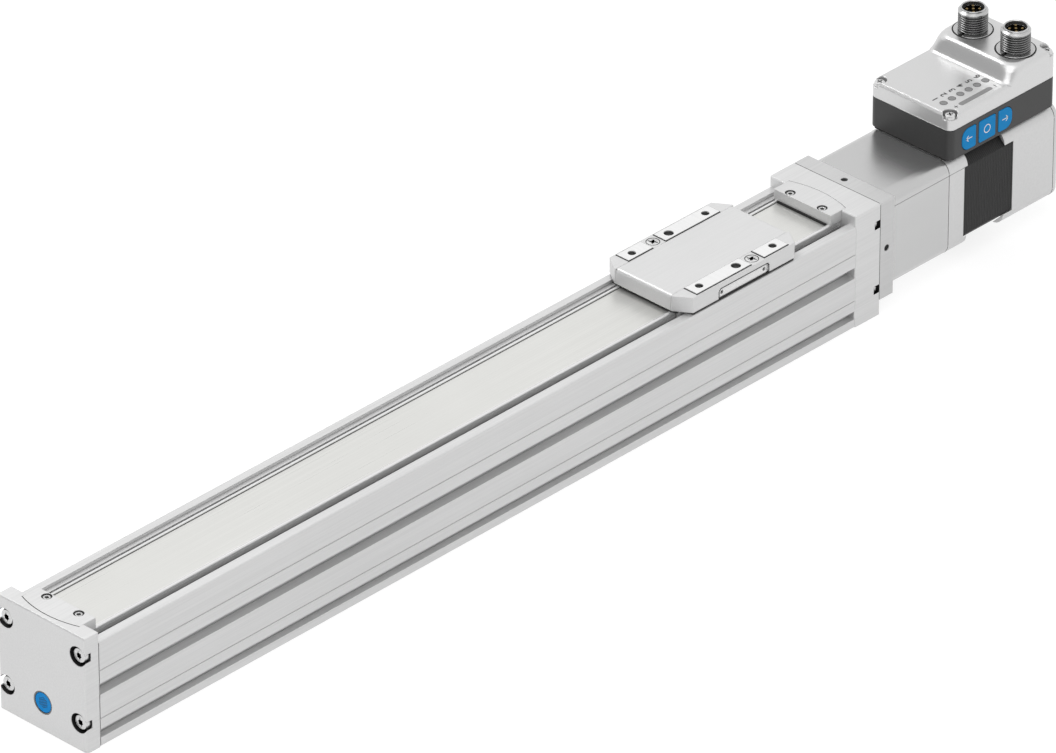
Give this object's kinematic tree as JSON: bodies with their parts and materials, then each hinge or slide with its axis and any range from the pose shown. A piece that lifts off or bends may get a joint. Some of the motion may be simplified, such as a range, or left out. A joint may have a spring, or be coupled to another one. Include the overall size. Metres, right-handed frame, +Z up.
{
  "type": "ball screw linear axis",
  "caption": "Ball screw linear axis with strip-covered profile, carriage, integrated stepper motor and controller.",
  "frame": {"origin": "middle of the profile's flat underside, halfway along the profile", "axes": "+X along the axis towards the motor, +Z up out of the carriage's mounting face, -Y the side with the keys"},
  "size_m": [0.5324, 0.045, 0.0867],
  "materials": {
    "anodised_aluminium": "satin anodised",
    "motor_housing": "satin cast",
    "brushed_strip": "brushed along the strip",
    "bright_steel": "ground",
    "screw_steel": "plated",
    "carriage_finish": "satin",
    "machined_aluminium": "machined",
    "black_rubber": "matte",
    "blue_plastic": "satin",
    "stator_laminations": "satin black, finely ridged",
    "dark_plastic": "matte",
    "cast_cover": "satin die-cast",
    "nickel": "nickel-plated",
    "gold_contacts": "plated",
    "window_plastic": "translucent grey",
    "board": "solder mask"
  },
  "bodies": {
    "frame": {"profile": "anodised_aluminium", "front_cap": "anodised_aluminium", "front_cap_gasket": "black_rubber", "vent_plug": "blue_plastic", "front_cap_screws": "screw_steel", "floating_bearing": "bright_steel", "drive_cap": "anodised_aluminium", "drive_cap_screws": "screw_steel", "fixed_bearing_outer_rings": "bright_steel", "front_clamp_plate": "anodised_aluminium", "drive_clamp_plate": "anodised_aluminium", "clamp_screws": "screw_steel", "cover_strip": "brushed_strip", "strip_edge_rails": "bright_steel", "guide_rail": "bright_steel", "rail_screws": "screw_steel", "end_buffers": "black_rubber", "adapter_flange": "anodised_aluminium", "adapter_set_screws": "screw_steel", "coupling_housing": "anodised_aluminium", "motor_front_flange": "motor_housing", "stator_stack": "stator_laminations", "motor_rear_housing": "motor_housing", "motor_end_plate": "motor_housing", "motor_screws": "screw_steel", "motor_bearings": "bright_steel", "controller_base": "dark_plastic", "circuit_board": "board", "controller_cover": "cast_cover", "controller_gasket": "black_rubber", "controller_screws": "screw_steel", "connector_shells": "nickel", "connector_inserts": "dark_plastic", "connector_pins": "gold_contacts", "connector_seals": "black_rubber", "indicator_windows": "window_plastic", "level_window": "window_plastic"},
    "carriage": {"slide_table": "machined_aluminium", "carriage_cover": "carriage_finish", "side_covers": "carriage_finish", "cover_screws": "screw_steel", "insert_plates": "machined_aluminium", "insert_screws": "screw_steel", "wipers": "black_rubber", "runner_frame": "machined_aluminium", "runner_blocks": "bright_steel", "ball_nut": "bright_steel"},
    "screw": {"ball_screw": "bright_steel", "fixed_bearing_inner_rings": "bright_steel", "bearing_locknut": "bright_steel", "screw_coupling_hub": "machined_aluminium", "coupling_spider": "black_rubber", "motor_coupling_hub": "machined_aluminium", "rotor": "bright_steel"},
    "left_key": {"left_key": "blue_plastic"},
    "middle_key": {"middle_key": "blue_plastic"},
    "right_key": {"right_key": "blue_plastic"}
  },
  "joints": [
    {"name": "screw_spin", "type": "hinge", "parent": "frame", "child": "screw", "pos_m": [0, 0, 0.0283], "axis": [1, 0, 0], "range_deg": [-757, 10765]},
    {"name": "carriage_slide", "type": "slide", "parent": "frame", "child": "carriage", "axis": [1, 0, 0], "range_m": [-0.299, 0.021]},
    {"name": "left_key_press", "type": "slide", "parent": "frame", "child": "left_key", "axis": [0, 1, 0], "range_m": [0, 0.0004], "stiffness_N_per_m": 600},
    {"name": "middle_key_press", "type": "slide", "parent": "frame", "child": "middle_key", "axis": [0, 1, 0], "range_m": [0, 0.0004], "stiffness_N_per_m": 600},
    {"name": "right_key_press", "type": "slide", "parent": "frame", "child": "right_key", "axis": [0, 1, 0], "range_m": [0, 0.0004], "stiffness_N_per_m": 600}
  ],
  "couplings": [
    {"joint": "screw_spin", "follows": "carriage_slide", "rad_per_m": -628.32}
  ]
}
